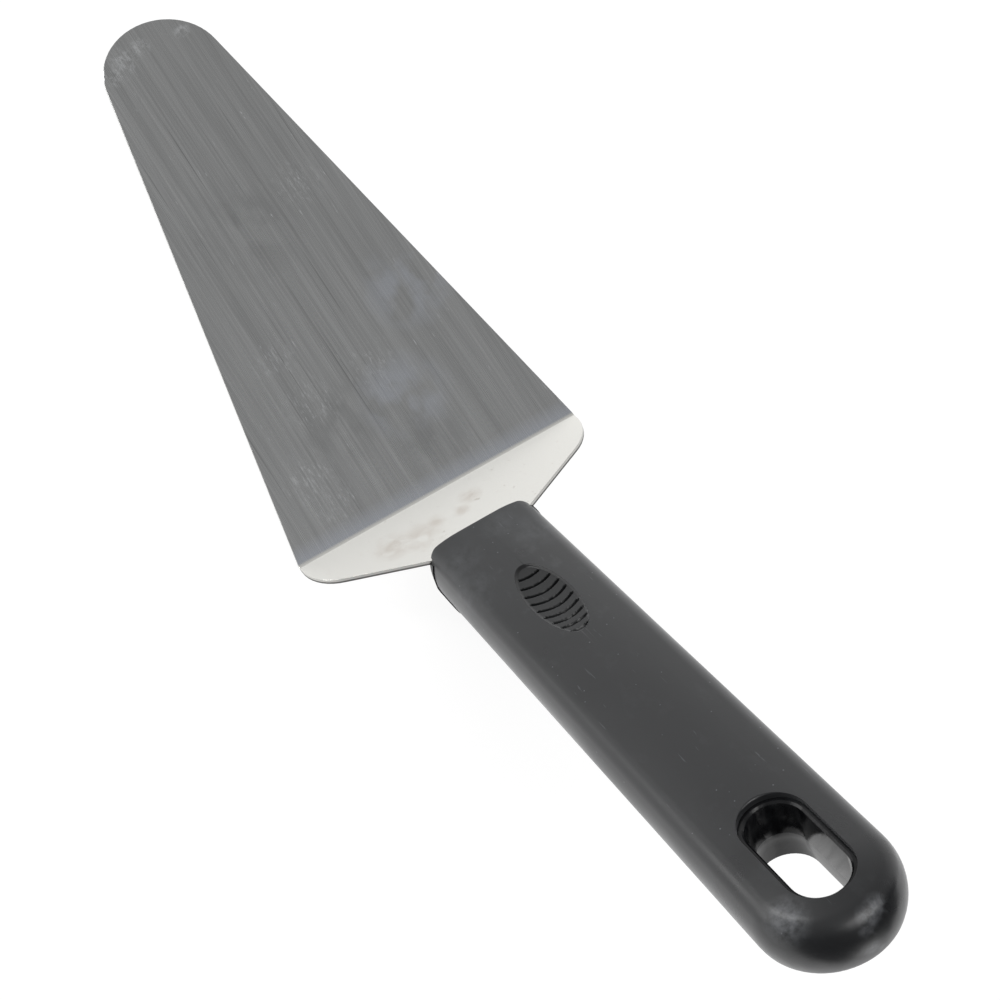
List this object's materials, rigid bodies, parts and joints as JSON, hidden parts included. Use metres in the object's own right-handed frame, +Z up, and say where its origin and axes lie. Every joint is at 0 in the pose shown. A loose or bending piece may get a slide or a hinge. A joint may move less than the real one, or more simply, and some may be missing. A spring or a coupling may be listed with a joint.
{
  "type": "cake server",
  "caption": "Cake server with a flat wedge blade that bends up into a neck, and a moulded handle with a thumb pad and a hang slot.",
  "frame": {"origin": "on the flat underside of the blade, on its middle line, midway between the bend and the tip", "axes": "+Z up from the flat blade, +Y along the blade towards its tip, +X to the right when the handle points at the viewer; the handle rises towards -Y"},
  "size_m": [0.064, 0.2498, 0.0837],
  "materials": {
    "blade": "stainless sheet, brushed along its length ahead of the bend, smooth on the neck",
    "core": "hard black plastic, smooth",
    "skin": "satin black soft-touch skin with a fine moulded texture"
  },
  "bodies": {
    "root": {"blade": "blade", "handle_core": "core", "grip_skin": "skin"}
  },
  "joints": []
}
